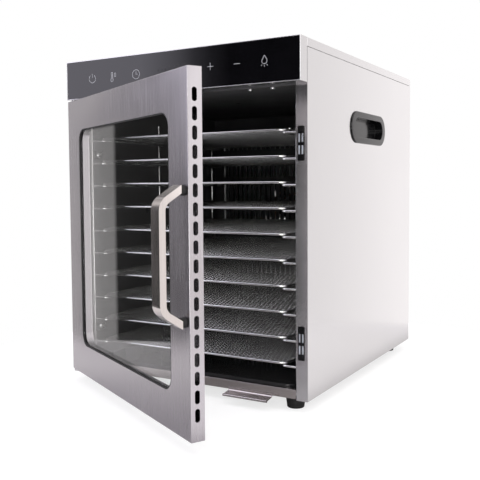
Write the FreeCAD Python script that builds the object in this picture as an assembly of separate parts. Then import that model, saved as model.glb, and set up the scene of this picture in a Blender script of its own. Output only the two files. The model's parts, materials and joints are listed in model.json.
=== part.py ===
import FreeCAD, Part
import math
import os

# Food dehydrator: steel cabinet with a glazed door, ten wire trays, a crumb drawer and a rear fan.
# Frame: millimetres, +X to the user's right, +Y to the back, +Z up.
# The origin is on the floor, under the middle of the space that the dehydrator takes up
# with its door ajar: on the cabinet's centre line, ORIGIN_IN behind the head's front.

os.makedirs("parts", exist_ok=True)
V = FreeCAD.Vector

# ---- driving dimensions -------------------------------------------------------------
WIDTH = 345.0          # cabinet width over the side panels
DEPTH = 405.0          # control head front to back panel
BODY_H = 415.0         # underside of the side panels to the top cover
FOOT_H = 13.5          # rubber foot height
SHEET = 1.0            # stainless sheet thickness
HEAD_D = 18.0          # how far the control head stands in front of the flange
HEAD_H = 50.0          # control head height
ORIGIN_IN = 110.5      # head front to the origin
LIP = 10.0             # top cover's side lip
FLANGE = 14.5          # front flange of a side panel

DOOR_T = 15.7          # door thickness
DOOR_BOTTOM = 1.0      # above the body's underside
DOOR_TOP = 363.0
DOOR_OPEN_DEG = 28.0   # how far the door stands open at rest
HINGE_IN = 6.0         # hinge axis in from the door's left edge and front face
PIN_D = 5.0
PIN_FIT = 0.05         # radial play of a hinge pin
WIN_SIDE = 41.0        # door stile width beside the window
WIN_LOW = 41.0         # window edges above the body's underside
WIN_HIGH = 323.5
WIN_R = 16.0

TRAYS = 10
TRAY_W = 285.0
TRAY_L = 310.0
TRAY_PITCH = 30.5
TRAY_LOW = 39.5        # lowest tray rim above the body's underside
TRAY_FRONT = 25.0      # behind the head's front
RIM_D = 3.0            # tray rim wire
MESH_T = 0.6
RAIL_D = 2.8           # rack rail wire
POST_D = 4.0           # rack post wire
RAIL_X = 134.0         # rail run, out from the middle
POST_X = 155.0
REST_GAP = 0.3         # between a tray and its rails

BAFFLE_Y = 350.0       # behind the head's front
FAN_Z = 190.0          # fan centre above the body's underside
FAN_SIDE = 150.0
FAN_DEPTH = 38.0

# ---- reference planes ---------------------------------------------------------------
HX = WIDTH / 2
YH = -ORIGIN_IN        # head front
YF = YH + HEAD_D       # front flange plane
YB = YH + DEPTH        # outer face of the back panel
Z0 = FOOT_H            # underside of the body
Z1 = Z0 + BODY_H
HINGE = V(-HX + HINGE_IN, YH + HINGE_IN, 0)
CATCHES = (Z0 + 297.0, Z0 + 67.5)
CATCH_X = 164.5
HANDLE_X = 162.5
HANDLE_Z = Z0 + 181.8
HANDLE_PITCH = 128.0


def box(x0, x1, y0, y1, z0, z1):
    return Part.makeBox(x1 - x0, y1 - y0, z1 - z0, V(x0, y0, z0))


def cyl(r, h, at, along):
    return Part.makeCylinder(r, h, at, along)


def save(name, shape):
    shape.exportStep("parts/" + name + ".step")


def fuse(shapes):
    return shapes[0].multiFuse(shapes[1:]).removeSplitter()


def mirror_x(shape):
    return shape.mirror(V(0, 0, 0), V(1, 0, 0))


def slab_xz(x0, x1, z0, z1, r, y0, y1):
    """A plate in the XZ plane with rounded corners."""
    plate = box(x0, x1, y0, y1, z0, z1)
    corners = [e for e in plate.Edges if abs(e.tangentAt(e.FirstParameter).y) > 0.99]
    return plate.makeFillet(r, corners)


def slab_xy(x0, x1, y0, y1, r, z0, z1):
    """A plate in the XY plane with rounded corners."""
    plate = box(x0, x1, y0, y1, z0, z1)
    corners = [e for e in plate.Edges if abs(e.tangentAt(e.FirstParameter).z) > 0.99]
    return plate.makeFillet(r, corners)


def slab_yz(y0, y1, z0, z1, r, x0, x1):
    """A plate in the YZ plane with rounded corners."""
    plate = box(x0, x1, y0, y1, z0, z1)
    corners = [e for e in plate.Edges if abs(e.tangentAt(e.FirstParameter).x) > 0.99]
    return plate.makeFillet(r, corners)


# ---- cabinet ------------------------------------------------------------------------
GRIP_Y = YH + 214.7    # carry handle centre
GRIP_Z = Z0 + 325.0
GRIP_L = 130.0
GRIP_H = 41.6


def back_screw_spots():
    spots = []
    for side in (-1, 1):
        for z in (Z0 + 20, Z0 + 115, Z0 + 205, Z0 + 295, Z0 + 390):
            spots.append((side * (HX - 8.0), z))
    return spots


def side_panel():
    """Right side panel: folded sheet with front, rear, top and bottom flanges."""
    top = Z1 - LIP - 0.6
    skin = box(HX - SHEET, HX, YF, YB, Z0, top)
    front = box(HX - FLANGE, HX - SHEET, YF, YF + SHEET, Z0, top)
    turn = box(HX - FLANGE, HX - FLANGE + SHEET, YF + SHEET, YF + 9, Z0, Z0 + 362)
    rear = box(HX - 15, HX - SHEET, YB - 2.2 * SHEET, YB - 1.2 * SHEET, Z0, top)
    low = box(HX - FLANGE, HX - SHEET, YF + SHEET, YB - 2.2 * SHEET, Z0, Z0 + SHEET)
    high = box(HX - 12, HX - SHEET, YF + SHEET, YB - 2.2 * SHEET, top - SHEET, top)
    panel = fuse([skin, front, turn, rear, low, high])
    grip = slab_yz(GRIP_Y - 58.5, GRIP_Y + 58.5, GRIP_Z - 14.3, GRIP_Z + 14.3, 14.2,
                   HX - 5, HX + 5)
    panel = panel.cut(grip)
    for x, z in back_screw_spots():
        if x > 0:
            panel = panel.cut(cyl(1.7, 10, V(x, YB - 8, z), V(0, 1, 0)))
    return panel


def side_panels():
    plain = side_panel()
    left = mirror_x(plain)
    right = plain
    for z in CATCHES:
        right = right.cut(box(CATCH_X - 4.2, CATCH_X + 4.2, YF - 2, YF + 3, z - 20, z + 20))
    save("left_side_panel", left)
    save("right_side_panel", right)


def top_cover():
    plate = box(-HX, HX, YF, YB, Z1 - SHEET, Z1)
    lips = [box(HX - SHEET, HX, YF, YB, Z1 - LIP, Z1 - SHEET)]
    lips.append(box(-HX, -HX + SHEET, YF, YB, Z1 - LIP, Z1 - SHEET))
    lips.append(box(-HX, HX, YB - SHEET, YB, Z1 - LIP, Z1 - SHEET))
    lips.append(box(-HX, HX, YF, YF + SHEET, Z1 - LIP, Z1 - SHEET))
    save("top_cover", fuse([plate] + lips))


INLET_X = 108.0
INLET_Z = Z0 + 44.0


def back_panel():
    plate = box(-HX + 1.2, HX - 1.2, YB - SHEET, YB, Z0 + 0.3, Z1 - LIP - 0.6)
    for x, z in back_screw_spots():
        plate = plate.cut(cyl(1.7, 6, V(x, YB - 3, z), V(0, 1, 0)))
    plate = plate.cut(box(INLET_X - 13.6, INLET_X + 13.6, YB - 3, YB + 3,
                          INLET_Z - 10, INLET_Z + 10))
    # air intake behind the fan: rings of radial slots
    cuts = []
    for r0, r1, count in ((12, 24, 8), (29, 44, 16), (49, 66, 24)):
        for n in range(count):
            slot = box(r0, r1, YB - 3, YB + 3, FAN_Z + Z0 - 1.8, FAN_Z + Z0 + 1.8)
            slot.rotate(V(0, 0, FAN_Z + Z0), V(0, 1, 0), 360.0 * n / count)
            cuts.append(slot)
    plate = plate.cut(Part.makeCompound(cuts))
    # exhaust slots near the top
    for n in range(12):
        x = -88.0 + 16.0 * n
        plate = plate.cut(slab_xz(x - 2, x + 2, Z0 + 345, Z0 + 375, 1.9, YB - 3, YB + 3))
    for x, z in fan_screw_spots():
        plate = plate.cut(cyl(2.1, 6, V(x, YB - 3, z), V(0, 1, 0)))
    save("back_panel", plate)


FEET = [(sx * (HX - 24.5), y) for sx in (-1, 1) for y in (YF + 19.0, YB - 35.0)]


def base_plate():
    plate = box(-HX + 2, HX - 2, YF + 12, YB - 2.6, Z0 + 1.2, Z0 + 2.2)
    for x, y in FEET:
        plate = plate.cut(cyl(2.2, 6, V(x, y, Z0 - 1), V(0, 0, 1)))
    save("base_plate", plate)


def feet():
    rubber = []
    for x, y in FEET:
        foot = Part.makeCone(10.2, 12.0, Z0, V(x, y, 0), V(0, 0, 1))
        rim = [e for e in foot.Edges if e.BoundBox.ZMax < 0.1 and e.Closed]
        foot = foot.makeFillet(1.2, rim)
        foot = foot.fuse(cyl(6, 1.2, V(x, y, Z0), V(0, 0, 1)))
        foot = foot.cut(cyl(4.7, 5, V(x, y, 0), V(0, 0, 1)))
        foot = foot.cut(cyl(2.1, 20, V(x, y, 0), V(0, 0, 1)))
        rubber.append(foot.removeSplitter())
    save("rubber_feet", Part.makeCompound(rubber))


def chamber_walls():
    y1 = YH + BAFFLE_Y + 1
    wall = box(HX - 13.3, HX - 12.5, YF + 1.2, y1, Z0 + 2.2, Z0 + 363)
    for y, z in RACK_SCREWS:
        wall = wall.cut(cyl(2.0, 20, V(HX - 20, y, z), V(1, 0, 0)))
    left = mirror_x(wall)
    right = wall.cut(cyl(LAMP_R, 20, V(HX - 20, LAMP_Y, LAMP_Z), V(1, 0, 0)))
    save("chamber_wall_left", left)
    save("chamber_wall_right", right)


def chamber_ceiling():
    """Ceiling of the drying chamber, turned up at the front to back the control head."""
    top = box(-HX + 12.5, HX - 12.5, YF + SHEET, YH + BAFFLE_Y + 1, Z0 + 363, Z0 + 363.8)
    front = box(-HX + 15, HX - 15, YF, YF + SHEET, Z0 + 363, Z1 - LIP - 0.2)
    part = fuse([top, front])
    for x in (95.0, 125.0):
        part = part.cut(cyl(1.5, 8, V(x, YF + 7, Z0 + 358), V(0, 0, 1)))
    part = part.cut(box(-30, 30, YF - 2, YF + 3, Z0 + 380, Z0 + 396))
    save("chamber_ceiling", part)


PROBE_X = 118.0
PROBE_Z = Z0 + 348.0


def rear_baffle():
    """Perforated wall between the trays and the fan."""
    y = YH + BAFFLE_Y
    plate = box(-HX + 13.3, HX - 13.3, y, y + SHEET, Z0 + 2.2, Z0 + 363)
    cuts = []
    for n in range(32):
        x = -139.5 + 9.0 * n
        for row in range(7):
            z = Z0 + 34.0 + 46.0 * row
            cuts.append(box(x - 1.6, x + 1.6, y - 2, y + 3, z, z + 34))
    plate = plate.cut(Part.makeCompound(cuts))
    plate = plate.cut(cyl(2.5, 8, V(PROBE_X, y - 3, PROBE_Z), V(0, 1, 0)))
    save("rear_baffle", plate)


def temperature_probe():
    y = YH + BAFFLE_Y
    stem = cyl(2.0, 30, V(PROBE_X, y - 28, PROBE_Z), V(0, 1, 0))
    collar = cyl(4.5, 3.0, V(PROBE_X, y - 3.0, PROBE_Z), V(0, 1, 0))
    body = cyl(4.0, 14, V(PROBE_X, y + SHEET, PROBE_Z), V(0, 1, 0))
    save("temperature_probe", fuse([stem, collar, body]))


LAMP_Y = YH + 95.0
LAMP_Z = Z0 + 338.0
LAMP_R = 14.0


def chamber_lamp():
    holder = cyl(17, 9.0, V(HX - 12.5, LAMP_Y, LAMP_Z), V(1, 0, 0))
    holder = holder.cut(cyl(12, 6.0, V(HX - 12.5, LAMP_Y, LAMP_Z), V(1, 0, 0)))
    save("lamp_holder", holder)
    lens = cyl(LAMP_R, 2.4, V(HX - 14.9, LAMP_Y, LAMP_Z), V(1, 0, 0))
    rim = [e for e in lens.Edges if e.Closed and e.BoundBox.XMax < HX - 14.8]
    lens = lens.makeFillet(1.2, rim)
    save("lamp_lens", lens)


def control_head():
    z0, z1 = Z0 + BODY_H - HEAD_H, Z1
    shell = box(-HX, HX, YH, YF, z0, z1)
    upright = [e for e in shell.Edges if e.BoundBox.YMax < YH + 0.1 and e.Length > 40]
    shell = shell.makeFillet(0.8, upright)
    shell = shell.cut(box(-HX + 1, HX - 1, YH - 1, YF - 1, z0 + 1, z1 - 1))
    bosses = []
    for x in (-140.0, -50.0, 50.0, 140.0):
        bosses.append(cyl(3.0, YF - 1 - (YH + 10.6), V(x, YH + 10.6, z0 + 25), V(0, 1, 0)))
    shell = fuse([shell] + bosses)
    shell = shell.cut(box(-30, 30, YF - 2, YF + 1, z0 + 30, z0 + 44))
    # a dark joint line between the head and the cabinet on each side
    for x0 in (-HX - 1, HX - 1):
        shell = shell.cut(box(x0, x0 + 2, YF - 0.7, YF + 1, z0 - 1, z1 + 1))
    shell = shell.cut(cyl(PIN_D / 2, 3, V(HINGE.x, HINGE.y, z0 - 1), V(0, 0, 1)))
    save("control_housing", shell)
    glass = box(-HX + 1, HX - 1, YH, YH + 3, z0 + 1, z1 - 1)
    save("control_glass", glass)
    board = box(-152, 152, YH + 9, YH + 10.6, z0 + 7, z1 - 7)
    save("control_board", board)
    display = slab_xz(-33, 33, z0 + 12, z1 - 12, 1.5, YH + 3, YH + 9)
    save("display_module", display)


def power_board():
    z, y0 = Z0 + 363.8, YH + 236.0
    posts = []
    for x in (-130.0, -50.0):
        for y in (y0 + 6, y0 + 66):
            posts.append(cyl(3, 6, V(x, y, z), V(0, 0, 1)))
    board = box(-136, -44, y0, y0 + 72, z + 6, z + 7.6)
    relay = box(-126, -107, y0 + 26, y0 + 54, z + 7.6, z + 23)
    transformer = slab_xy(-96, -62, y0 + 14, y0 + 50, 2, z + 7.6, z + 33)
    terminal = box(-130, -100, y0 + 58, y0 + 68, z + 7.6, z + 18)
    save("power_board", Part.makeCompound([fuse([board] + posts), relay, transformer, terminal]))


def magnetic_catches():
    bodies, poles = [], []
    for z in CATCHES:
        body = slab_xz(CATCH_X - 4.1, CATCH_X + 4.1, z - 19.7, z + 19.7, 1.0, YF - 1, YF + 11)
        body = body.cut(box(CATCH_X + 5, CATCH_X + 9, YF, YF + 12, z - 30, z + 30))
        for dx in (-2.0, 2.0):
            for dz in (-7.4, 6.2):
                slot = box(CATCH_X + dx - 0.9, CATCH_X + dx + 0.9, YF - 1, YF + 8,
                           z + dz - 4.9, z + dz + 4.9)
                body = body.cut(slot)
                poles.append(box(CATCH_X + dx - 0.9, CATCH_X + dx + 0.9, YF - 1, YF + 8,
                                 z + dz - 4.9, z + dz + 4.9))
        bodies.append(body)
    save("magnetic_catches", Part.makeCompound(bodies))
    save("catch_pole_plates", Part.makeCompound(poles))


# ---- tray racks ---------------------------------------------------------------------
RACK_Y0 = YH + 27.5
RACK_Y1 = YH + 332.5
RACK_SCREWS = [(YH + 44.0, Z0 + 293.0), (YH + 44.0, Z0 + 54.0),
               (YH + 316.0, Z0 + 293.0), (YH + 316.0, Z0 + 54.0)]


def tray_z(k):
    return Z0 + TRAY_LOW + TRAY_PITCH * (TRAYS - 1 - k)


def rail(z):
    """One U-shaped rail: from the front post inwards, along the tray, and back out."""
    bend = 6.0
    r = RAIL_D / 2
    a = V(POST_X, RACK_Y0, z)
    b = V(RAIL_X + bend, RACK_Y0, z)
    c = V(RAIL_X, RACK_Y0 + bend, z)
    d = V(RAIL_X, RACK_Y1 - bend, z)
    e = V(RAIL_X + bend, RACK_Y1, z)
    f = V(POST_X, RACK_Y1, z)
    q = bend * (1 - math.sqrt(0.5))
    arc1 = Part.Arc(b, V(RAIL_X + q, RACK_Y0 + q, z), c).toShape()
    arc2 = Part.Arc(d, V(RAIL_X + q, RACK_Y1 - q, z), e).toShape()
    path = Part.Wire([Part.makeLine(a, b), arc1, Part.makeLine(c, d), arc2,
                      Part.makeLine(e, f)])
    ring = Part.Wire([Part.makeCircle(r, a, V(-1, 0, 0))])
    return path.makePipeShell([ring], True, False)


def tray_racks():
    """Each rack: three wire posts with screw tabs, and ten bent rails butted onto them."""
    mid = (RACK_Y0 + RACK_Y1) / 2
    posts = []
    for y in (RACK_Y0, mid, RACK_Y1):
        posts.append(cyl(POST_D / 2, 322, V(POST_X, y, Z0 + 20), V(0, 0, 1)))
    wires = Part.makeCompound(posts)
    rails = []
    for k in range(TRAYS):
        z = tray_z(k) - RIM_D / 2 - REST_GAP - RAIL_D / 2
        # a wire tie at the middle of the rack keeps the rail level
        tie = cyl(RAIL_D / 2 - 0.2, POST_X - RAIL_X, V(RAIL_X, mid, z), V(1, 0, 0))
        rails.append(fuse([rail(z), tie]).cut(wires))
    for y, z in RACK_SCREWS:
        front = y < YH + 180
        y0, y1 = (RACK_Y0, y + 7) if front else (y - 7, RACK_Y1)
        tab = box(HX - 15.9, HX - 13.3, y0, y1, z - 6, z + 6)
        n = 0 if front else 2
        posts[n] = fuse([posts[n], tab])
    posts = Part.makeCompound(posts)
    screws = []
    for y, z in RACK_SCREWS:
        posts = posts.cut(cyl(2.0, 20, V(HX - 20, y, z), V(1, 0, 0)))
        head = cyl(4.0, 2.2, V(HX - 18.1, y, z), V(1, 0, 0))
        edge = [e for e in head.Edges if e.Closed and e.BoundBox.XMax < HX - 18.0]
        head = head.makeFillet(1.4, edge)
        screw = head.fuse(cyl(2.0, 8, V(HX - 15.9, y, z), V(1, 0, 0)))
        screws += [screw, mirror_x(screw)]
    rails = Part.makeCompound(rails)
    save("rack_posts_right", posts)
    save("rack_posts_left", mirror_x(posts))
    save("rack_rails_right", rails)
    save("rack_rails_left", mirror_x(rails))
    save("rack_screws", Part.makeCompound(screws))


# ---- trays --------------------------------------------------------------------------
def tray():
    """A wire rim with a flat woven mesh, centred on its own rim plane."""
    r = RIM_D / 2
    hx, hy, c = TRAY_W / 2 - r, TRAY_L / 2 - r, 12.0
    q = c * (1 - math.sqrt(0.5))
    edges = []
    spots = [(1, 1), (-1, 1), (-1, -1), (1, -1)]
    for n, (sx, sy) in enumerate(spots):
        p_y = V(sx * hx, sy * (hy - c), 0)
        p_x = V(sx * (hx - c), sy * hy, 0)
        mid = V(sx * (hx - q), sy * (hy - q), 0)
        first, last = (p_y, p_x) if sx * sy > 0 else (p_x, p_y)
        edges.append(Part.Arc(first, mid, last).toShape())
        tx, ty = spots[(n + 1) % 4]
        to = V(tx * (hx - c), ty * hy, 0) if tx * ty < 0 else V(tx * hx, ty * (hy - c), 0)
        edges.append(Part.makeLine(last, to))
    path = Part.Wire(Part.__sortEdges__(edges))
    start = path.OrderedEdges[1]
    p = start.valueAt(start.FirstParameter)
    ring = Part.Wire([Part.makeCircle(r, p, start.tangentAt(start.FirstParameter))])
    rim = path.makePipeShell([ring], True, False)
    mesh = slab_xy(-hx, hx, -hy, hy, c, -MESH_T / 2, MESH_T / 2).cut(rim)
    return rim, mesh


def trays():
    rim, mesh = tray()
    y = YH + TRAY_FRONT + TRAY_L / 2
    for k in range(TRAYS):
        both = Part.makeCompound([rim.copy(), mesh.copy()])
        both.translate(V(0, y, tray_z(k)))
        save("tray_%02d" % (k + 1), both)


# ---- crumb drawer -------------------------------------------------------------------
DRAWER_X = HX - FLANGE - 0.8


def crumb_drawer():
    front = box(-DRAWER_X, DRAWER_X, YF, YF + 1.2, Z0 + 1.3, Z0 + 12.3)
    fold = box(-DRAWER_X, DRAWER_X, YF + 1.2, YF + 8, Z0 + 11.3, Z0 + 12.3)
    save("crumb_tray_front", fuse([front, fold]))
    y0, y1 = YF + 8, YH + 343.0
    pan = slab_xy(-148, 148, y0, y1, 12, Z0 + 2.6, Z0 + 14)
    pan = pan.cut(slab_xy(-147, 147, y0 + 1, y1 - 1, 11, Z0 + 3.6, Z0 + 20))
    rim = slab_xy(-149.5, 149.5, y0, y1 + 1.5, 12, Z0 + 13, Z0 + 15)
    rim = rim.cut(slab_xy(-147, 147, y0 + 1, y1 - 1, 11, Z0 + 10, Z0 + 20))
    save("crumb_tray_pan", fuse([pan, rim]))
    # bent finger pull under the drawer front, with a rolled lip
    t = 1.1
    x0, x1 = 66.5, 126.5
    pts = [(YF, 4.2), (YF - t, 4.2), (YF - t, 1.5), (YF - 2.0, 0.4), (YF - 13.5, -1.2),
           (YF - 13.5, -1.2 - t), (YF - 2.2, -0.7), (YF, 0.6)]
    ring = Part.makePolygon([V(x0, y, Z0 + z) for y, z in pts + pts[:1]])
    blade = Part.Face(ring).extrude(V(x1 - x0, 0, 0))
    roll = cyl(1.6, x1 - x0, V(x0, YF - 14.2, Z0 - 2.0), V(1, 0, 0))
    save("crumb_tray_pull", fuse([blade, roll]))


# ---- door (built shut, then turned to its rest position) ----------------------------
def at_rest(shape):
    copy = shape.copy()
    copy.rotate(HINGE, V(0, 0, 1), -DOOR_OPEN_DEG)
    return copy


def door_frame():
    z0, z1 = Z0 + DOOR_BOTTOM, Z0 + DOOR_TOP
    shell = box(-HX, HX, YH, YH + DOOR_T, z0, z1)
    edges = [e for e in shell.Edges if e.BoundBox.YMax < YH + 0.1]
    shell = shell.makeFillet(0.9, edges)
    shell = shell.cut(box(-HX + 1, HX - 1, YH + 1, YH + 20, z0 + 1, z1 - 1))
    shell = shell.cut(slab_xz(-HX + WIN_SIDE, HX - WIN_SIDE, Z0 + WIN_LOW, Z0 + WIN_HIGH,
                              WIN_R, YH - 2, YH + 3))
    pitch = (336.6 - 27.0) / 17
    for n in range(18):
        z = Z0 + 27.0 + pitch * n
        shell = shell.cut(slab_yz(YH + 4.9, YH + 10.3, z - 6.75, z + 6.75, 2.6,
                                  HX - 3, HX + 3))
    for z in (z0 - 2, z1 - 3):
        shell = shell.cut(cyl(3.3, 5, V(HINGE.x, HINGE.y, z), V(0, 0, 1)))
    for s in (-1, 1):
        shell = shell.cut(cyl(1.6, 5, V(HANDLE_X, YH - 2, HANDLE_Z + s * HANDLE_PITCH / 2),
                              V(0, 1, 0)))
    save("door_outer_frame", at_rest(shell))


def door_inner():
    z0, z1 = Z0 + DOOR_BOTTOM + 1, Z0 + DOOR_TOP - 1
    wx, wl, wh = HX - WIN_SIDE + 4, Z0 + WIN_LOW - 4, Z0 + WIN_HIGH + 4
    plate = box(-HX + 1, HX - 1, YH + DOOR_T - 1, YH + DOOR_T, z0, z1)
    wall = slab_xz(-wx - 1, wx + 1, wl - 1, wh + 1, WIN_R + 5, YH + 6.2, YH + DOOR_T - 1)
    part = fuse([plate, wall])
    part = part.cut(slab_xz(-wx, wx, wl, wh, WIN_R + 4, YH, YH + 20))
    save("door_inner_panel", at_rest(part))


def door_glazing():
    x, lo, hi = HX - WIN_SIDE, Z0 + WIN_LOW, Z0 + WIN_HIGH
    seat = slab_xz(-x - 8, x + 8, lo - 8, hi + 8, WIN_R + 8, YH + 1, YH + 2.2)
    bead = slab_xz(-x, x, lo, hi, WIN_R, YH + 0.2, YH + 1)
    gasket = fuse([seat, bead])
    gasket = gasket.cut(slab_xz(-x + 1.4, x - 1.4, lo + 1.4, hi - 1.4, WIN_R - 1.4,
                                YH - 2, YH + 5))
    save("window_gasket", at_rest(gasket))
    glass = slab_xz(-x - 9, x + 9, lo - 9, hi + 9, WIN_R + 8, YH + 2.2, YH + 6.2)
    save("door_glass", at_rest(glass))


def prism_x(points, x0, x1):
    """A bar with the outline of the (y, z) points, from x0 to x1."""
    spots = [V(x0, y, z) for y, z in points]
    return Part.Face(Part.makePolygon(spots + [spots[0]])).extrude(V(x1 - x0, 0, 0))


def door_handle():
    """Flat-bar handle with splayed legs and round bends, on two black spacers."""
    out, bar, wide, stand, splay = 30.4, 6.8, 18.0, 6.5, 0.65
    x0, x1 = HANDLE_X - wide / 2, HANDLE_X + wide / 2
    tall = bar * math.sqrt(1 + splay * splay)      # height of the cut end of a leg
    end = HANDLE_PITCH / 2 + 1.0 + tall / 2
    foot, back = YH - stand, YH - out
    inside = back + bar

    def outline(face, foot_half, foot_y):
        grip_half = foot_half - splay * (foot_y - face)
        return [(foot_y, HANDLE_Z + foot_half), (face, HANDLE_Z + grip_half),
                (face, HANDLE_Z - grip_half), (foot_y, HANDLE_Z - foot_half)]

    def bends(shape, face):
        return [e for e in shape.Edges if e.BoundBox.YMax < face + 0.1 and e.BoundBox.XLength > 1]

    outer = prism_x(outline(back, end, foot), x0, x1)
    outer = outer.makeFillet(17.0, bends(outer, back))
    beyond = foot + 8.0
    inner_half = end - tall + splay * (beyond - foot)
    inner = prism_x(outline(inside, inner_half, beyond), x0 - 1, x1 + 1)
    inner = inner.makeFillet(10.5, bends(inner, inside))
    bar_shape = outer.cut(inner)
    spacers, screws = [], []
    for s in (-1, 1):
        z = HANDLE_Z + s * HANDLE_PITCH / 2
        bar_shape = bar_shape.cut(cyl(1.5, 4, V(HANDLE_X, foot - 4, z), V(0, 1, 0)))
        spacer = Part.makeCone(4.7, 5.6, stand, V(HANDLE_X, foot, z), V(0, 1, 0))
        spacers.append(spacer.cut(cyl(1.6, stand + 2, V(HANDLE_X, foot - 1, z), V(0, 1, 0))))
        shank = cyl(1.5, stand + 5, V(HANDLE_X, foot - 4, z), V(0, 1, 0))
        screws.append(shank.fuse(cyl(3.4, 2.2, V(HANDLE_X, YH + 1, z), V(0, 1, 0))))
    save("door_handle", at_rest(bar_shape))
    save("handle_spacers", at_rest(Part.makeCompound(spacers)))
    save("handle_screws", at_rest(Part.makeCompound(screws)))


def door_hardware():
    strikes = []
    for z in CATCHES:
        strikes.append(slab_xz(CATCH_X - 5, CATCH_X + 5, z - 21, z + 21, 1.0,
                               YH + DOOR_T, YH + DOOR_T + 1))
    save("strike_plates", at_rest(Part.makeCompound(strikes)))
    bushes = []
    for z in (Z0 + DOOR_BOTTOM + 1, Z0 + DOOR_TOP - 13):
        bush = box(-HX + 1, HINGE.x + 6, YH + 1, YH + DOOR_T - 1, z, z + 12)
        bushes.append(bush.cut(cyl(PIN_D / 2 + PIN_FIT, 20, V(HINGE.x, HINGE.y, z - 4),
                                   V(0, 0, 1))))
    save("hinge_bushes", at_rest(Part.makeCompound(bushes)))


def hinge():
    plate = box(-HX, HINGE.x + 9, HINGE.y - 5, YF + 5, Z0 - 2, Z0)
    front = [e for e in plate.Edges if e.BoundBox.YMax < HINGE.y - 4.9 and e.BoundBox.XLength < 0.1]
    plate = plate.makeFillet(4.5, front)
    plate = plate.cut(cyl(PIN_D / 2, 6, V(HINGE.x, HINGE.y, Z0 - 4), V(0, 0, 1)))
    save("hinge_bracket", plate)
    low = cyl(PIN_D / 2, 13, V(HINGE.x, HINGE.y, Z0 - 2), V(0, 0, 1))
    high = cyl(PIN_D / 2, 13, V(HINGE.x, HINGE.y, Z0 + 353), V(0, 0, 1))
    save("hinge_pins", Part.makeCompound([low, high]))


# ---- carry handles, inlet -----------------------------------------------------------
def carry_handles():
    """Recessed grip: an oval bezel on the side panel and a shallow cup behind it."""
    bezel = slab_yz(GRIP_Y - GRIP_L / 2, GRIP_Y + GRIP_L / 2, GRIP_Z - GRIP_H / 2,
                    GRIP_Z + GRIP_H / 2, GRIP_H / 2 - 0.05, HX, HX + 1.8)
    rim = [e for e in bezel.Edges if e.BoundBox.XMin > HX + 1.7]
    bezel = bezel.makeFillet(1.0, rim)
    cup = slab_yz(GRIP_Y - 58.3, GRIP_Y + 58.3, GRIP_Z - 14.2, GRIP_Z + 14.2, 14.1,
                  HX - 11.2, HX)
    grip = fuse([bezel, cup])
    grip = grip.cut(slab_yz(GRIP_Y - 53.5, GRIP_Y + 53.5, GRIP_Z - 12.6, GRIP_Z + 12.6, 12.5,
                            HX - 9.6, HX + 5))
    save("carry_handle_right", grip)
    save("carry_handle_left", mirror_x(grip))


def power_inlet():
    flange = slab_xz(INLET_X - 16, INLET_X + 16, INLET_Z - 12.5, INLET_Z + 12.5, 3, YB, YB + 2.4)
    body = box(INLET_X - 13.5, INLET_X + 13.5, YB - 18, YB, INLET_Z - 9.9, INLET_Z + 9.9)
    shell = fuse([flange, body])
    shell = shell.cut(slab_xz(INLET_X - 11.6, INLET_X + 11.6, INLET_Z - 8, INLET_Z + 8, 2,
                              YB - 14.5, YB + 4))
    pins = []
    for dx, dz in ((-7.0, -1.5), (0.0, 2.5), (7.0, -1.5)):
        pin = box(INLET_X + dx - 1, INLET_X + dx + 1, YB - 20.5, YB - 3.5,
                  INLET_Z + dz - 2, INLET_Z + dz + 2)
        shell = shell.cut(pin)
        pins.append(pin)
    save("power_inlet", shell)
    save("inlet_pins", Part.makeCompound(pins))


# ---- fan and heater -----------------------------------------------------------------
FAN = V(0, 0, Z0 + FAN_Z)
FAN_Y0 = YB - SHEET - FAN_DEPTH
FAN_Y1 = YB - SHEET


def fan_screw_spots():
    s = FAN_SIDE / 2 - 7
    return [(sx * s, Z0 + FAN_Z + sz * s) for sx in (-1, 1) for sz in (-1, 1)]


def fan():
    s = FAN_SIDE / 2
    frame = slab_xz(-s, s, FAN.z - s, FAN.z + s, 9, FAN_Y0, FAN_Y1)
    frame = frame.cut(cyl(70, FAN_DEPTH + 2, V(0, FAN_Y0 - 1, FAN.z), V(0, 1, 0)))
    cup = cyl(31, 4, V(0, FAN_Y1 - 4, FAN.z), V(0, 1, 0))
    arms = []
    for a in (45, 135, 225, 315):
        arm = box(28, 73, FAN_Y1 - 4, FAN_Y1, FAN.z - 4, FAN.z + 4)
        arm.rotate(FAN, V(0, 1, 0), a)
        arms.append(arm)
    frame = fuse([frame, cup] + arms)
    for x, z in fan_screw_spots():
        frame = frame.cut(cyl(2.0, 14, V(x, FAN_Y1 - 12, z), V(0, 1, 0)))
    save("fan_housing", frame)
    motor = cyl(27, 22, V(0, FAN_Y1 - 26, FAN.z), V(0, 1, 0))
    motor = motor.cut(cyl(PIN_D / 2 + PIN_FIT, 16, V(0, FAN_Y1 - 27, FAN.z), V(0, 1, 0)))
    save("fan_motor", motor)
    hub_y = FAN_Y0 + 3.0
    hub = cyl(30.5, 20, V(0, hub_y, FAN.z), V(0, 1, 0))
    hub = hub.cut(cyl(27.8, 20, V(0, FAN_Y1 - 26.6, FAN.z), V(0, 1, 0)))
    shaft = cyl(PIN_D / 2, 18, V(0, hub_y + 4, FAN.z), V(0, 1, 0))
    blades = []
    for n in range(7):
        blade = box(29.5, 67, -1, 1, -13, 13)
        blade.rotate(V(0, 0, 0), V(1, 0, 0), 52)
        blade.translate(V(0, hub_y + 11, FAN.z))
        blade.rotate(FAN, V(0, 1, 0), 360.0 * n / 7)
        blades.append(blade)
    save("fan_rotor", fuse([hub, shaft] + blades))


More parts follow.
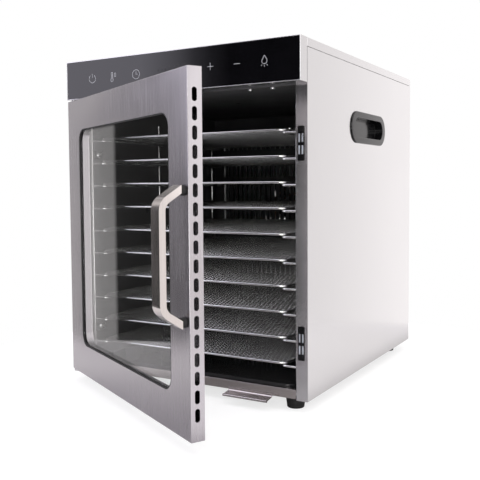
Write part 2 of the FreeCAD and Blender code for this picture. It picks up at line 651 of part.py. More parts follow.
def heater():
    """Ring element on a mica cross, in front of the fan."""
    y = YH + BAFFLE_Y + 7.5
    cross = box(-66, 66, y - 4, y + 4, FAN.z - 0.6, FAN.z + 0.6)
    cross = cross.fuse(box(-0.6, 0.6, y - 4, y + 4, FAN.z - 66, FAN.z + 66))
    rings = [Part.makeTorus(r, 1.5, V(0, y, FAN.z), V(0, 1, 0)) for r in (34, 46, 58)]
    cross = cross.cut(Part.makeCompound(rings)).removeSplitter()
    feet = []
    for sx, sz in ((1, 0), (-1, 0), (0, 1), (0, -1)):
        foot = box(sx * 64 - 4, sx * 64 + 4, YH + BAFFLE_Y + 1, y - 4,
                   FAN.z + sz * 64 - 4, FAN.z + sz * 64 + 4)
        feet.append(foot)
    save("heater_frame", fuse([cross] + feet))
    save("heater_element", Part.makeCompound(rings))
    cut = cyl(8, 5, V(84, YH + BAFFLE_Y + 1, FAN.z + 84), V(0, 1, 0))
    tabs = box(81, 87, YH + BAFFLE_Y + 6, YH + BAFFLE_Y + 11, FAN.z + 80, FAN.z + 88)
    save("thermal_cutout", fuse([cut, tabs]))


def cabinet_screws():
    screws = []
    spots = [(x, z, 1.7) for x, z in back_screw_spots()]
    spots += [(x, z, 2.0) for x, z in fan_screw_spots()]
    for x, z, r in spots:
        head = cyl(3.4, 2.0, V(x, YB, z), V(0, 1, 0))
        edge = [e for e in head.Edges if e.Closed and e.BoundBox.YMin > YB + 1.9]
        head = head.makeFillet(1.2, edge)
        head = head.cut(box(x - 2, x + 2, YB + 1.2, YB + 3, z - 0.4, z + 0.4))
        head = head.cut(box(x - 0.4, x + 0.4, YB + 1.2, YB + 3, z - 2, z + 2))
        screws.append(head.fuse(cyl(r - 0.1, 7, V(x, YB - 7, z), V(0, 1, 0))))
    for x in (95.0, 125.0):
        head = cyl(3.0, 1.8, V(x, YF + 7, Z0 + 361.2), V(0, 0, 1))
        screws.append(head.fuse(cyl(1.5, 5, V(x, YF + 7, Z0 + 363), V(0, 0, 1))))
    for x, y in FEET:
        head = cyl(4.2, 3, V(x, y, 2), V(0, 0, 1))
        screws.append(head.fuse(cyl(2.0, Z0 + 2.2 - 5, V(x, y, 5), V(0, 0, 1))))
    save("cabinet_screws", Part.makeCompound(screws))


side_panels()
top_cover()
back_panel()
base_plate()
feet()
chamber_walls()
chamber_ceiling()
rear_baffle()
temperature_probe()
chamber_lamp()
control_head()
power_board()
magnetic_catches()
tray_racks()
trays()
crumb_drawer()
door_frame()
door_inner()
door_glazing()
door_handle()
door_hardware()
hinge()
carry_handles()
power_inlet()
fan()
heater()
cabinet_screws()
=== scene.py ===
import json
import math
import bmesh
import bpy
from mathutils import Matrix, Vector

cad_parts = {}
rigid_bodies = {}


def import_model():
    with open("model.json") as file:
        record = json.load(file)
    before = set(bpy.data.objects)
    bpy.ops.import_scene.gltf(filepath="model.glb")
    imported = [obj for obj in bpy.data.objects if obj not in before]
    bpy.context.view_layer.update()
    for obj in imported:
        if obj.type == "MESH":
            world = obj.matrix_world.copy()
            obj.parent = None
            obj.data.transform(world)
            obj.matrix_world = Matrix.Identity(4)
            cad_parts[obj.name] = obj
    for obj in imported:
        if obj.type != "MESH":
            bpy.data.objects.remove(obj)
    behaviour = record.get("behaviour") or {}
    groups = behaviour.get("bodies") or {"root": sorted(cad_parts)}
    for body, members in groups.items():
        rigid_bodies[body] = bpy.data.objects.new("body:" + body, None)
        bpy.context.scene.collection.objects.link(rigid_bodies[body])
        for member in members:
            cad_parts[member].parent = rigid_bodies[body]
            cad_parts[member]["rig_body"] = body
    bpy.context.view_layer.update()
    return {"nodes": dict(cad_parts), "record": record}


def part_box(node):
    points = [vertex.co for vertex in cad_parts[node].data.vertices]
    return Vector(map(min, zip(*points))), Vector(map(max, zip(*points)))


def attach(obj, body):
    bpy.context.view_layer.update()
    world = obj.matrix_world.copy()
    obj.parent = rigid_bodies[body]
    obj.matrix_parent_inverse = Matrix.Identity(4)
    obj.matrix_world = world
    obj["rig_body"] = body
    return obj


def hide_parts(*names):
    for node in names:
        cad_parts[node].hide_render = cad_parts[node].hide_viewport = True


# Food dehydrator: the looks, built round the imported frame. Metres, row frame.
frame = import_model()
nodes = frame["nodes"]
SLOTS = {part["node"]: part["material_slot"] for part in frame["record"]["subparts"]}
MM = 0.001


# ---- camera -------------------------------------------------------------------------
CAMERA_AT = (0.51264, -0.82933, 0.26382)
CAMERA_YAW = 30.032    # degrees to the left of straight at the front
CAMERA_PITCH = 3.343   # degrees down
CAMERA_ROLL = -0.378
CAMERA_LENS = 53.54    # on a 36 mm sensor
CAMERA_SHIFT = (-0.0044, -0.0278)


def add_camera():
    yaw, pitch, roll = (math.radians(v) for v in (CAMERA_YAW, CAMERA_PITCH, CAMERA_ROLL))
    forward = Vector((-math.sin(yaw) * math.cos(pitch), math.cos(yaw) * math.cos(pitch),
                      -math.sin(pitch)))
    right = Vector((math.cos(yaw), math.sin(yaw), 0))
    up = right.cross(forward)
    side = math.cos(roll) * right + math.sin(roll) * up
    top = -math.sin(roll) * right + math.cos(roll) * up
    camera = bpy.data.cameras.new("camera")
    camera.sensor_width = 36
    camera.lens = CAMERA_LENS
    camera.shift_x, camera.shift_y = CAMERA_SHIFT
    camera.clip_start = 20 * MM
    ob = bpy.data.objects.new("camera", camera)
    turn = Matrix((side, top, -forward)).transposed()
    ob.matrix_world = Matrix.Translation(CAMERA_AT) @ turn.to_4x4()
    bpy.context.scene.collection.objects.link(ob)
    bpy.context.scene.camera = ob


# ---- node material helpers ----------------------------------------------------------
class Nodes:
    """A material's node tree, with short calls to build it."""

    def __init__(self, name):
        self.material = bpy.data.materials.new(name)
        self.material.use_nodes = True
        self.tree = self.material.node_tree
        self.shader = self.tree.nodes["Principled BSDF"]
        self.output = self.tree.nodes["Material Output"]
        self.place = self.add("ShaderNodeTexCoord").outputs["Object"]

    def add(self, kind, **settings):
        node = self.tree.nodes.new(kind)
        for key, value in settings.items():
            setattr(node, key, value)
        return node

    def link(self, source, target):
        self.tree.links.new(source, target)

    def noise(self, scale, stretch=(1, 1, 1), detail=3.0, roughness=0.55):
        """Noise in object space. Stretch is how many times finer it is along each axis."""
        mapping = self.add("ShaderNodeMapping")
        mapping.inputs["Scale"].default_value = stretch
        self.link(self.place, mapping.inputs["Vector"])
        noise = self.add("ShaderNodeTexNoise")
        noise.inputs["Scale"].default_value = scale
        noise.inputs["Detail"].default_value = detail
        noise.inputs["Roughness"].default_value = roughness
        self.link(mapping.outputs["Vector"], noise.inputs["Vector"])
        return noise.outputs["Fac"]

    def spread(self, value, low, high, start=0.3, end=0.7):
        """Maps a 0..1 pattern to low..high."""
        node = self.add("ShaderNodeMapRange")
        node.inputs["From Min"].default_value = start
        node.inputs["From Max"].default_value = end
        node.inputs["To Min"].default_value = low
        node.inputs["To Max"].default_value = high
        self.link(value, node.inputs["Value"])
        return node.outputs["Result"]

    def colours(self, value, low, high, start=0.3, end=0.7):
        """Maps a 0..1 pattern to a blend of two colours."""
        ramp = self.add("ShaderNodeValToRGB")
        ramp.color_ramp.elements[0].position = start
        ramp.color_ramp.elements[0].color = (*low, 1)
        ramp.color_ramp.elements[1].position = end
        ramp.color_ramp.elements[1].color = (*high, 1)
        self.link(value, ramp.inputs["Fac"])
        return ramp.outputs["Color"]

    def bump(self, height, strength, distance):
        bump = self.add("ShaderNodeBump")
        bump.inputs["Strength"].default_value = strength
        bump.inputs["Distance"].default_value = distance
        self.link(height, bump.inputs["Height"])
        self.link(bump.outputs["Normal"], self.shader.inputs["Normal"])

    def set(self, **values):
        for key, value in values.items():
            self.shader.inputs[key.replace("_", " ")].default_value = value


def tint(colour, factor):
    return tuple(min(1.0, c * factor) for c in colour)


def brushed(name, colour, rough, grain, depth=0.015, smudge=0.025, vary=0.04):
    """Brushed stainless sheet. The grain runs along the axis with the small number.
    Depth is the scratches' in mm, smudge how far the roughness wanders over broad patches
    and vary how far the colour does from scratch to scratch."""
    n = Nodes(name)
    fine = n.noise(1500, grain, 4.0, 0.7)
    broad = n.noise(9, detail=2.0)
    n.link(n.colours(fine, tint(colour, 1 - vary), tint(colour, 1 + vary)),
           n.shader.inputs["Base Color"])
    both = n.add("ShaderNodeMath", operation="MULTIPLY_ADD")
    n.link(n.spread(fine, -0.03, 0.04), both.inputs[0])
    both.inputs[1].default_value = 1.0
    n.link(n.spread(broad, rough - smudge, rough + smudge), both.inputs[2])
    n.link(both.outputs[0], n.shader.inputs["Roughness"])
    n.set(Metallic=1.0)
    n.bump(fine, 0.35, depth * MM)
    return n.material


def polished(name, colour, rough, depth=0.01):
    """Drawn wire or plated metal: bright, with fine draw marks and dull patches."""
    n = Nodes(name)
    marks = n.noise(700, detail=2.0)
    patch = n.noise(60)
    n.link(n.colours(patch, tint(colour, 0.9), tint(colour, 1.04)),
           n.shader.inputs["Base Color"])
    n.link(n.spread(patch, rough * 0.7, rough * 1.5), n.shader.inputs["Roughness"])
    n.set(Metallic=1.0)
    n.bump(marks, 0.2, depth * MM)
    return n.material


def moulded(name, colour, rough, grain=1400, depth=0.05, level=0.5):
    """Moulded plastic or rubber with a fine spark texture."""
    n = Nodes(name)
    spark = n.noise(grain, detail=2.0)
    broad = n.noise(30, detail=2.0)
    n.link(n.colours(broad, tint(colour, 0.85), tint(colour, 1.2)),
           n.shader.inputs["Base Color"])
    n.link(n.spread(spark, rough * 0.85, rough * 1.2), n.shader.inputs["Roughness"])
    n.shader.inputs["Specular IOR Level"].default_value = level
    n.bump(spark, 0.4, depth * MM)
    return n.material


def coated(name, colour, rough):
    """Baked dark coating on sheet: satin, with a slight orange peel and dust."""
    n = Nodes(name)
    peel = n.noise(260, detail=2.0)
    broad = n.noise(14, detail=4.0)
    n.link(n.colours(broad, tint(colour, 0.8), tint(colour, 1.3)), n.shader.inputs["Base Color"])
    n.link(n.spread(broad, rough * 0.8, rough * 1.3), n.shader.inputs["Roughness"])
    n.bump(peel, 0.25, 0.04 * MM)
    return n.material


def dark_glass(name, lift=1.0):
    """Back-printed control glass: near black, with faint finger haze. Lift makes it paler."""
    n = Nodes(name)
    haze = n.noise(22, detail=5.0, roughness=0.65)
    clean, marked = (0.0015, 0.0015, 0.002), (0.003, 0.003, 0.004)
    n.link(n.colours(haze, tint(clean, lift), tint(marked, lift)), n.shader.inputs["Base Color"])
    n.link(n.spread(haze, 0.015, 0.04), n.shader.inputs["Roughness"])
    return n.material


PANE_ROUGH = 0.002
PANE_LEAST = 0.05      # the share of light a pane mirrors when seen square on
PANE_MOST = 0.99       # and when seen edge on
PANE_POWER = 5.0       # how late it rises to that


def window_glass(name, tint_colour):
    """Clear pane: what is behind it shows through, and it mirrors more at a low angle."""
    n = Nodes(name)
    n.tree.nodes.remove(n.shader)
    see = n.add("ShaderNodeBsdfTransparent")
    see.inputs["Color"].default_value = (*tint_colour, 1)
    mirror = n.add("ShaderNodeBsdfGlossy")
    mirror.inputs["Color"].default_value = (1, 1, 1, 1)
    haze = n.noise(18, detail=4.0)
    n.link(n.spread(haze, PANE_ROUGH * 0.5, PANE_ROUGH * 2), mirror.inputs["Roughness"])
    angle = n.add("ShaderNodeLayerWeight")
    angle.inputs["Blend"].default_value = 0.5
    steep = n.add("ShaderNodeMath", operation="POWER")
    n.link(angle.outputs["Facing"], steep.inputs[0])
    steep.inputs[1].default_value = PANE_POWER
    share = n.add("ShaderNodeMath", operation="MULTIPLY_ADD")
    n.link(steep.outputs[0], share.inputs[0])
    share.inputs[1].default_value = PANE_MOST - PANE_LEAST
    share.inputs[2].default_value = PANE_LEAST
    mix = n.add("ShaderNodeMixShader")
    n.link(share.outputs[0], mix.inputs["Fac"])
    n.link(see.outputs["BSDF"], mix.inputs[1])
    n.link(mirror.outputs["BSDF"], mix.inputs[2])
    n.link(mix.outputs["Shader"], n.output.inputs["Surface"])
    return n.material


def frosted(name):
    """Etched glass that scatters the lamp's light."""
    n = Nodes(name)
    grain = n.noise(900)
    n.link(n.colours(grain, (0.72, 0.72, 0.68), (0.86, 0.86, 0.82)),
           n.shader.inputs["Base Color"])
    n.link(n.spread(grain, 0.3, 0.5), n.shader.inputs["Roughness"])
    n.bump(grain, 0.3, 0.05 * MM)
    return n.material


def board(name):
    """Solder mask with a faint pattern of copper tracks under it."""
    n = Nodes(name)
    cells = n.add("ShaderNodeTexVoronoi", feature="DISTANCE_TO_EDGE", distance="MANHATTAN")
    cells.inputs["Scale"].default_value = 160
    n.link(n.place, cells.inputs["Vector"])
    track, mask = (0.02, 0.20, 0.09), (0.01, 0.09, 0.05)
    edge = cells.outputs["Distance"]
    n.link(n.colours(edge, track, mask, 0.02, 0.1), n.shader.inputs["Base Color"])
    n.link(n.spread(edge, 0.3, 0.42, 0.0, 0.2), n.shader.inputs["Roughness"])
    return n.material


def print_with_painted_glow(name, colour):
    """Pale screen print on the control glass, with a faint painted glow: it shines a little
    though it is no lamp.
    """
    n = Nodes(name)
    grain = n.noise(2500)
    n.link(n.colours(grain, tint(colour, 0.92), colour), n.shader.inputs["Base Color"])
    n.link(n.spread(grain, 0.4, 0.55), n.shader.inputs["Roughness"])
    # The emission is painted light: the print glows faintly though it is no lamp.
    n.link(n.colours(grain, tint(colour, 0.9), colour), n.shader.inputs["Emission Color"])
    n.shader.inputs["Emission Strength"].default_value = 0.1
    return n.material


ACROSS = (0.012, 1, 1)     # the brushing's direction, as noise's stretch
UPRIGHT = (1, 1, 0.012)
COARSE = (1, 1, 0.3)
CABINET_STEEL = (0.635, 0.63, 0.635)

# Each finish's kind and the values that its function takes after the name.
FINISHES = {
    "brushed_steel": (brushed, CABINET_STEEL, 0.18, UPRIGHT, 0.008, 0.02, 0.02),
    "brushed_top": (brushed, CABINET_STEEL, 0.18, ACROSS, 0.008, 0.02, 0.02),
    # The door's steel is the cabinet's stainless painted darker: painted shade on the door.
    "door_steel": (brushed, (0.46, 0.44, 0.458), 0.24, UPRIGHT, 0.012, 0.025, 0.05),
    "handle_steel": (brushed, (0.60, 0.56, 0.54), 0.12, UPRIGHT, 0.008),
    # The crumb tray's front: the cabinet steel painted darker and browner, as painted shade from
    # the door.
    "drawer_steel": (brushed, (0.44, 0.41, 0.395), 0.16, ACROSS, 0.01),
    "galvanised": (brushed, (0.56, 0.57, 0.58), 0.42, COARSE, 0.01, 0.1),
    "wire_steel": (polished, (0.70, 0.70, 0.69), 0.10),
    "pole_steel": (polished, (0.82, 0.86, 0.92), 0.3),
    "screw_steel": (polished, (0.70, 0.70, 0.70), 0.25, 0.02),
    "brass_pin": (polished, (0.80, 0.64, 0.34), 0.22),
    "cast_alloy": (polished, (0.50, 0.51, 0.52), 0.45, 0.1),
    "heater_wire": (polished, (0.30, 0.21, 0.17), 0.5, 0.05),
    "liner": (coated, (0.06, 0.06, 0.061), 0.34),
    "dark_enamel": (coated, (0.02, 0.02, 0.021), 0.08),
    "black_glass": (dark_glass,),
    "unlit_bars": (dark_glass, 3.0),
    "clear_glass": (window_glass, (0.985, 0.99, 0.99)),
    "lamp_glass": (frosted,),
    "black_rubber": (moulded, (0.012, 0.012, 0.012), 0.5, 900, 0.08, 0.35),
    "black_plastic": (moulded, (0.005, 0.005, 0.0055), 0.12, 1400, 0.01, 0.28),
    "nylon": (moulded, (0.78, 0.77, 0.72), 0.5, 800),
    "mica": (moulded, (0.52, 0.44, 0.34), 0.5, 300, 0.1),
    "circuit_board": (board,),
    "key_print": (print_with_painted_glow, (0.55, 0.56, 0.60)),
}


def make_materials():
    return {name: kind(name, *values) for name, (kind, *values) in FINISHES.items()}


def finish_of(name):
    """The material for a CAD node: its slot's, the same steel brushed the other way, or for the
    crumb tray's steel a darker brushed copy whose darkness is painted shade.
    """
    slot = SLOTS[name]
    if name == "top_cover":
        return "brushed_top"
    # The crumb tray's steel takes the darker copy, whose darkness is painted shade.
    if name.startswith("crumb_tray") and slot == "brushed_steel":
        return "drawer_steel"
    return slot


def new_piece(name, mesh, material, body, at=(0, 0, 0)):
    """A smooth-shaded piece of one material, which moves with its body."""
    for poly in mesh.polygons:
        poly.use_smooth = True
    mesh.materials.clear()
    mesh.materials.append(materials[material])
    ob = bpy.data.objects.new(name, mesh)
    ob.location = at
    bpy.context.scene.collection.objects.link(ob)
    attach(ob, body)
    return ob


# ---- edges rounded by real geometry -------------------------------------------------
WELD = 0.002 * MM          # vertices closer than this are one
FLAT_TURN = 0.8            # degrees: faces that turn less are one flat face
SHARP_TURN = 35            # degrees: edges that turn more are rounded


def softened(name, width):
    """A copy of a CAD node with its sharp edges rounded, which stands for that node."""
    source = nodes[name]
    mesh = source.data.copy()
    mesh.name = name + "_soft"
    bm = bmesh.new()
    bm.from_mesh(mesh)
    bmesh.ops.remove_doubles(bm, verts=bm.verts, dist=WELD)
    bmesh.ops.dissolve_limit(bm, angle_limit=math.radians(FLAT_TURN), verts=bm.verts,
                             edges=bm.edges)
    bm.to_mesh(mesh)
    bm.free()
    if "custom_normal" in mesh.attributes:
        mesh.attributes.remove(mesh.attributes["custom_normal"])
    ob = new_piece(name + "_finished", mesh, finish_of(name), source["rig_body"])
    bevel = ob.modifiers.new("rounding", "BEVEL")
    bevel.width = width * MM
    bevel.segments = 2
    bevel.limit_method = "ANGLE"
    bevel.angle_limit = math.radians(SHARP_TURN)
    bevel.harden_normals = True
    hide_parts(name)


# ---- trays: rim wire and woven mesh -------------------------------------------------
TRAYS = 10
RIM_R = 1.5 * MM
RIM_SIDES = 14
CORNER = 12.0 * MM         # radius of the rim's corners
CORNER_STEPS = 8
CORNER_CUT = 0.6           # how much a wire shortens per unit of its way into a corner
PITCH_X = 2.8 * MM         # between the wires that run front to back
PITCH_Y = 8.4 * MM         # between the wires that run across
WIRE_R = 0.46 * MM
WIRE_SIDES = 5
CRIMP = 1.0 * MM           # how far a wire's middle rises and falls
END_GAP = 1.0 * MM         # least distance from a crossing to a wire's end


def tube(bm, points, radius, sides, closed=False):
    """A round wire along the points."""
    rings = []
    count = len(points)
    for n, p in enumerate(points):
        before = points[(n - 1) % count] if closed or n else p
        after = points[(n + 1) % count] if closed or n < count - 1 else p
        along = (after - before).normalized()
        u = along.cross(Vector((0, 0, 1))).normalized()
        v = along.cross(u)
        ring = []
        for k in range(sides):
            a = 2 * math.pi * (k + 0.5) / sides
            ring.append(bm.verts.new(p + radius * (math.cos(a) * u + math.sin(a) * v)))
        rings.append(ring)
    pairs = count if closed else count - 1
    for n in range(pairs):
        a, b = rings[n], rings[(n + 1) % count]
        for k in range(sides):
            m = (k + 1) % sides
            bm.faces.new((a[k], a[m], b[m], b[k]))
    if not closed:
        bm.faces.new(rings[0])
        bm.faces.new(list(reversed(rings[-1])))


def weave(bm, half_x, half_y, across):
    """Wires one way of a plain weave: each passes over one crossing wire and under the next."""
    odd_sign = 1 if across else -1
    half_run, half_step = (half_x, half_y) if across else (half_y, half_x)
    run_pitch, step_pitch = (PITCH_X, PITCH_Y) if across else (PITCH_Y, PITCH_X)
    lines = int(2 * half_step / step_pitch)
    crossings = int(2 * half_run / run_pitch)
    first_line = -(lines - 1) * step_pitch / 2
    first_cross = -(crossings - 1) * run_pitch / 2
    for n in range(lines):
        off = first_line + n * step_pitch
        edge = half_run - max(0.0, abs(off) - (half_step - CORNER)) * CORNER_CUT
        points = [Vector((-edge, off, 0))]
        for k in range(crossings):
            run = first_cross + k * run_pitch
            if abs(run) < edge - END_GAP:
                sign = odd_sign if (n + k) % 2 else -odd_sign
                points.append(Vector((run, off, sign * CRIMP)))
        points.append(Vector((edge, off, 0)))
        if not across:
            points = [Vector((p.y, p.x, p.z)) for p in points]
        tube(bm, points, WIRE_R, WIRE_SIDES)


def tray_mesh(low, high):
    """One tray about its own middle: a closed rim wire and the mesh inside it."""
    half_x = (high.x - low.x) / 2 - RIM_R
    half_y = (high.y - low.y) / 2 - RIM_R
    bm = bmesh.new()
    outline = []
    for n, (sx, sy) in enumerate(((1, 1), (-1, 1), (-1, -1), (1, -1))):
        for k in range(CORNER_STEPS + 1):
            a = math.radians(90 * n + 90 * k / CORNER_STEPS)
            outline.append(Vector((sx * (half_x - CORNER) + CORNER * math.cos(a),
                                   sy * (half_y - CORNER) + CORNER * math.sin(a), 0)))
    tube(bm, outline, RIM_R, RIM_SIDES, closed=True)
    weave(bm, half_x, half_y, True)
    weave(bm, half_x, half_y, False)
    bmesh.ops.recalc_face_normals(bm, faces=bm.faces)
    mesh = bpy.data.meshes.new("woven_tray")
    bm.to_mesh(mesh)
    bm.free()
    return mesh


def add_trays():
    """Ten trays that share one mesh, each in its CAD tray's place."""
    low, high = (Vector(v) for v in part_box("tray_01"))
    mesh = tray_mesh(low, high)
    for n in range(1, TRAYS + 1):
        name = "tray_%02d" % n
        low, high = (Vector(v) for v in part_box(name))
        ob = new_piece("woven_" + name, mesh, "wire_steel",
                       "tray_body_%02d" % n, (low + high) / 2)
        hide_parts(name)


# ---- control glass icons ------------------------------------------------------------
def arc(cx, cz, r, start, end, count=20):
    """Points round a centre, from one angle to another in degrees."""
    return [(cx + r * math.cos(math.radians(start + (end - start) * k / count)),
             cz + r * math.sin(math.radians(start + (end - start) * k / count)))
            for k in range(count + 1)]


# Each key's place across the head and its strokes, in mm from the icon's middle.
ICONS = {
    "icon_power": (-127.5, [arc(0, 0, 5.3, 125, 415), [(0, 1.0), (0, 6.6)]]),
    "icon_heat": (-92.0, [arc(-2.4, -3.9, 2.0, 130, 410) + arc(-2.4, 4.4, 1.2, 0, 180, 10)
                          + [(-3.69, -2.37)], [(-2.4, -3.6), (-2.4, 3.4)],
                          arc(-1.4, 2.2, 3.6, -45, 45), arc(-1.4, 2.2, 5.4, -30, 30)]),
    "icon_timer": (-55.5, [arc(0, 0, 5.6, 0, 360, 32), [(0, 3.4), (0, 0), (3.0, 0)]]),
    "icon_plus": (55.0, [[(-4.3, 0), (4.3, 0)], [(0, -4.3), (0, 4.3)]]),
    "icon_minus": (91.5, [[(-4.2, 0), (4.2, 0)]]),
    "icon_lamp": (127.5, [[(0, 6.4), (-2.6, 1.6)] + arc(0, 0.2, 3.4, 155, 385) + [(0, 6.4)],
                          [(0, -4.6), (0, -6.4)], [(-3.0, -3.9), (-4.2, -5.4)],
                          [(3.0, -3.9), (4.2, -5.4)]]),
}
ICON_Z = 403.5
ICON_STROKE = 0.5
BAR_STROKE = 0.9
STROKE_SIDES = 8
PRINT_FLATNESS = 0.12      # a stroke's thickness as a share of its width


def line_art(name, strokes, x, face, width, material):
    """Thin raised print made of strokes on the glass, whose face is at y = face."""
    bm = bmesh.new()
    for stroke in strokes:
        points = [Vector((px * MM, pz * MM, 0)) for px, pz in stroke]
        tube(bm, points, width / 2 * MM, STROKE_SIDES)
    for vert in bm.verts:
        vx, vz, depth = vert.co
        vert.co = Vector((x * MM + vx, face - depth * PRINT_FLATNESS, ICON_Z * MM + vz))
    bmesh.ops.recalc_face_normals(bm, faces=bm.faces)
    mesh = bpy.data.meshes.new(name)
    bm.to_mesh(mesh)
    bm.free()
    new_piece(name, mesh, material, "cabinet")


DIGIT_W = 6.0
DIGITS_X = (-21.0, -10.0, 4.0, 15.0)      # each digit's left edge
LEVEL_BARS_Z = (-6.4, 0.0, 6.3)
UPRIGHT_BARS_Z = ((-5.9, -0.9), (0.8, 5.8))
BAR_GAP = 0.7                             # a level bar's end to the upright bars
COLON_X = (-0.6, 0.4)
COLON_Z = (-2.4, 2.4)


def digit_bars():
    """The four numerals of the time display, each of seven bars, with its colon."""
    bars = []
    for x in DIGITS_X:
        for z0, z1 in UPRIGHT_BARS_Z:
            bars.append([(x, z0), (x, z1)])
            bars.append([(x + DIGIT_W, z0), (x + DIGIT_W, z1)])
        for z in LEVEL_BARS_Z:
            bars.append([(x + BAR_GAP, z), (x + DIGIT_W - BAR_GAP, z)])
    for z in COLON_Z:
        bars.append([(x, z) for x in COLON_X])
    return bars


def add_icons():
    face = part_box("control_glass")[0][1]
    for name, (x, strokes) in ICONS.items():
        line_art(name, strokes, x, face, ICON_STROKE, "key_print")
    line_art("display_bars", digit_bars(), 0.0, face, BAR_STROKE, "unlit_bars")


# ---- studio -------------------------------------------------------------------------
FLOOR_R = 0.52
FLOOR_AT = (0.1, -0.03, -0.0003)
FLOOR_GLOW = 0.74
# What the steel mirrors of the floor, from its left to its right: a start and an end in
# metres, and its painted light and shade at shares of the way between them: a dark middle band
# of painted shade and painted light brightest on the right.
FLOOR_SPAN = (-0.35, 0.12)
FLOOR_LEFT = (0.78, 0.77, 0.76)
# Painted shade: the darker band the steel mirrors of the floor near the object.
FLOOR_SHADE_PAINTED = (0.46, 0.45, 0.455)
FLOOR_SHADE_PAINTED_AT = (0.6, 0.86)
FLOOR_RIGHT = (0.95, 0.94, 0.94)

# Each softbox: where it is, what it points at, its size and its power in watts.
SOFTBOXES = {
    "softbox_top": ((0.2, -0.3, 1.7), (0, 0, 0.2), (1.6, 1.2), 9),
    "softbox_front": ((0.7, -1.7, 0.9), (0, 0, 0.2), (1.0, 0.8), 9),
    "softbox_low": ((0.55, -1.1, 0.1), (0, 0.15, 0.34), (0.6, 0.3), 2.5),
    "softbox_right": ((1.8, 0.3, 0.8), (0, 0, 0.2), (1.4, 1.2), 3),
}


def area(name, at, towards, size, power):
    lamp = bpy.data.lights.new(name, "AREA")
    lamp.shape = "RECTANGLE"
    lamp.size, lamp.size_y = size
    lamp.energy = power
    ob = bpy.data.objects.new(name, lamp)
    ob.location = at
    ob.rotation_euler = (Vector(towards) - Vector(at)).to_track_quat("-Z", "Y").to_euler()
    ob.visible_camera = False
    bpy.context.scene.collection.objects.link(ob)


def floor_with_painted_shade(n):
    """The duller floor that the steel mirrors, with painted shade in its middle and painted
    light brightest on the right.
    """
    dull = n.add("ShaderNodeBsdfDiffuse")
    across = n.add("ShaderNodeSeparateXYZ")
    n.link(n.place, across.inputs[0])
    shade = n.spread(across.outputs["X"], 0, 1, *FLOOR_SPAN)
    tones = n.colours(shade, FLOOR_LEFT, FLOOR_RIGHT, 0.0, 1.0)
    for position in FLOOR_SHADE_PAINTED_AT:
        tones.node.color_ramp.elements.new(position).color = (*FLOOR_SHADE_PAINTED, 1)
    n.link(tones, dull.inputs["Color"])
    return dull


def add_floor():
    """White paper under the object. What shows is white, and what is mirrored is duller, with
    painted light and shade across it.
    """
    n = Nodes("studio_paper")
    grain = n.noise(40, detail=4.0)
    n.link(n.colours(grain, (0.29, 0.29, 0.29), (0.31, 0.31, 0.31)),
           n.shader.inputs["Base Color"])
    n.set(Roughness=0.9)
    n.link(n.colours(grain, (0.98, 0.98, 0.98), (1, 1, 1)), n.shader.inputs["Emission Color"])
    n.shader.inputs["Emission Strength"].default_value = FLOOR_GLOW
    seen = n.add("ShaderNodeLightPath")
    mix = n.add("ShaderNodeMixShader")
    n.link(seen.outputs["Is Camera Ray"], mix.inputs["Fac"])
    n.link(floor_with_painted_shade(n).outputs["BSDF"], mix.inputs[1])
    n.link(n.shader.outputs["BSDF"], mix.inputs[2])
    n.link(mix.outputs["Shader"], n.output.inputs["Surface"])
    bm = bmesh.new()
    bmesh.ops.create_circle(bm, cap_ends=True, segments=96, radius=FLOOR_R)
    mesh = bpy.data.meshes.new("studio_floor")
    bm.to_mesh(mesh)
    bm.free()
    mesh.materials.append(n.material)
    ob = bpy.data.objects.new("studio_floor", mesh)
    ob.location = FLOOR_AT
    bpy.context.scene.collection.objects.link(ob)


# The studio as the metal mirrors it. Brightness by bearing, in degrees from the front with
# right positive: the walls left and right of a sharp edge, and a front-left softbox. HEIGHT
# is how the softbox varies with elevation.
WALLS_LEFT = ((-180, 1.3), (-163, 1.3), (-150, 1.15), (-130, 0.9), (-112, 0.4), (-100, 0.85),
              (-98, 0.85), (-97, 0.66), (180, 0.6))
WALLS_RIGHT = ((-180, 0.04), (-40, 0.04), (-30, 0.02), (-8, 0.05), (25, 0.5), (60, 1.15),
               (90, 1.2), (150, 1.05), (157, 1.08), (164, 1.42), (180, 1.3))
WALL_EDGE = (-96.25, -95.95)   # where the left walls end and the right ones begin
SOFTBOX = ((-180, 0), (-90.5, 0), (-87, 1.0), (-80, 1.5), (-66, 2.3), (-38, 2.4), (-35.5, 1.5),
           (-33.5, 0.35), (-31.5, 0.0), (180, 0))
HEIGHT = ((-90, 0.7), (-17, 0.6), (-11, 0.12), (-1, 0.08), (7, 1.0), (90, 1.0))
WALL_COLOUR = (1.0, 0.965, 0.965)
SOFTBOX_COLOUR = (0.98, 0.95, 1.08)
PAPER_WHITE = (1, 1, 1)


def between(tree, value, low, high):
    """0 where the angle is low, 1 where it is high, both in degrees."""
    node = tree.nodes.new("ShaderNodeMapRange")
    node.inputs["From Min"].default_value = math.radians(low)
    node.inputs["From Max"].default_value = math.radians(high)
    tree.links.new(value, node.inputs["Value"])
    return node.outputs["Result"]


def profile(tree, angle, points):
    """A curve of straight runs through the points, which are (degrees, brightness)."""
    low, high = points[0][0], points[-1][0]
    curve = tree.nodes.new("ShaderNodeFloatCurve")
    dots = curve.mapping.curves[0].points
    top = max(v for _, v in points)
    spots = [((d - low) / (high - low), v / top) for d, v in points]
    dots[0].location = spots[0]
    dots[-1].location = spots[-1]
    for spot in spots[1:-1]:
        dots.new(*spot)
    for dot in dots:
        dot.handle_type = "VECTOR"
    curve.mapping.update()
    tree.links.new(between(tree, angle, low, high), curve.inputs["Value"])
    return times(tree, curve.outputs["Value"], top)


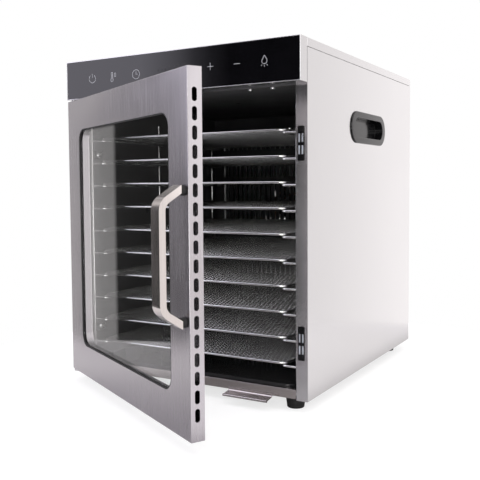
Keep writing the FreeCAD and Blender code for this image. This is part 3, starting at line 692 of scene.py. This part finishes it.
def times(tree, value, factor):
    """The product of an output and a number or another output."""
    node = tree.nodes.new("ShaderNodeMath")
    node.operation = "MULTIPLY"
    tree.links.new(value, node.inputs[0])
    if isinstance(factor, (int, float)):
        node.inputs[1].default_value = factor
    else:
        tree.links.new(factor, node.inputs[1])
    return node.outputs[0]


def backdrop(tree, colour, strength):
    """Light of one colour from all round, whose strength is a number or an output."""
    glow = tree.nodes.new("ShaderNodeBackground")
    glow.inputs["Color"].default_value = (*colour, 1)
    if isinstance(strength, (int, float)):
        glow.inputs["Strength"].default_value = strength
    else:
        tree.links.new(strength, glow.inputs["Strength"])
    return glow.outputs[0]


def bearing_and_rise(tree):
    """The direction's angle round from the front, right positive, and its elevation."""
    place = tree.nodes.new("ShaderNodeTexCoord")
    split = tree.nodes.new("ShaderNodeSeparateXYZ")
    tree.links.new(place.outputs["Generated"], split.inputs[0])
    bearing = tree.nodes.new("ShaderNodeMath")
    bearing.operation = "ARCTAN2"
    tree.links.new(split.outputs["X"], bearing.inputs[0])
    tree.links.new(times(tree, split.outputs["Y"], -1), bearing.inputs[1])
    rise = tree.nodes.new("ShaderNodeMath")
    rise.operation = "ARCSINE"
    tree.links.new(split.outputs["Z"], rise.inputs[0])
    return bearing.outputs[0], rise.outputs[0]


def add_room():
    """White seamless room: what shows is white, what the metal mirrors varies round it."""
    world = bpy.data.worlds.new("studio")
    bpy.context.scene.world = world
    world.use_nodes = True
    tree = world.node_tree
    tree.nodes.clear()
    link = tree.links.new
    bearing, rise = bearing_and_rise(tree)
    walls = tree.nodes.new("ShaderNodeMix")
    link(between(tree, bearing, *WALL_EDGE), walls.inputs["Factor"])
    link(profile(tree, bearing, WALLS_LEFT), walls.inputs["A"])
    link(profile(tree, bearing, WALLS_RIGHT), walls.inputs["B"])
    softbox = times(tree, profile(tree, bearing, SOFTBOX), profile(tree, rise, HEIGHT))
    room = tree.nodes.new("ShaderNodeAddShader")
    link(backdrop(tree, WALL_COLOUR, walls.outputs["Result"]), room.inputs[0])
    link(backdrop(tree, SOFTBOX_COLOUR, softbox), room.inputs[1])
    seen = tree.nodes.new("ShaderNodeLightPath")
    mix = tree.nodes.new("ShaderNodeMixShader")
    link(seen.outputs["Is Camera Ray"], mix.inputs["Fac"])
    link(room.outputs[0], mix.inputs[1])
    link(backdrop(tree, PAPER_WHITE, 1.0), mix.inputs[2])
    out = tree.nodes.new("ShaderNodeOutputWorld")
    link(mix.outputs[0], out.inputs["Surface"])


def add_studio():
    add_floor()
    add_room()
    for name, (at, towards, size, power) in SOFTBOXES.items():
        area(name, at, towards, size, power)
    bpy.context.scene.view_settings.view_transform = "Standard"


# ---- build --------------------------------------------------------------------------
# Edge rounding of the CAD nodes whose sharp edges would show, in mm.
ROUNDED = {
    "right_side_panel": 0.4, "left_side_panel": 0.4, "top_cover": 0.45, "control_housing": 0.4,
    "door_outer_frame": 0.25, "door_inner_panel": 0.3, "door_handle": 0.7,
    "carry_handle_right": 0.6, "carry_handle_left": 0.6, "handle_spacers": 0.4,
    "crumb_tray_front": 0.4, "crumb_tray_pull": 0.35, "crumb_tray_pan": 0.3,
    "magnetic_catches": 0.25, "catch_pole_plates": 0.2, "strike_plates": 0.3,
    "hinge_bracket": 0.4, "power_inlet": 0.4, "control_glass": 0.3, "hinge_bushes": 0.4,
    "control_board": 0.1, "power_board": 0.3, "display_module": 0.2,
}

materials = make_materials()

add_camera()
for node_name, node in nodes.items():
    node.data.materials[0] = materials[finish_of(node_name)]
for node_name, radius in ROUNDED.items():
    softened(node_name, radius)
add_trays()
add_icons()
add_studio()

bpy.context.view_layer.update()
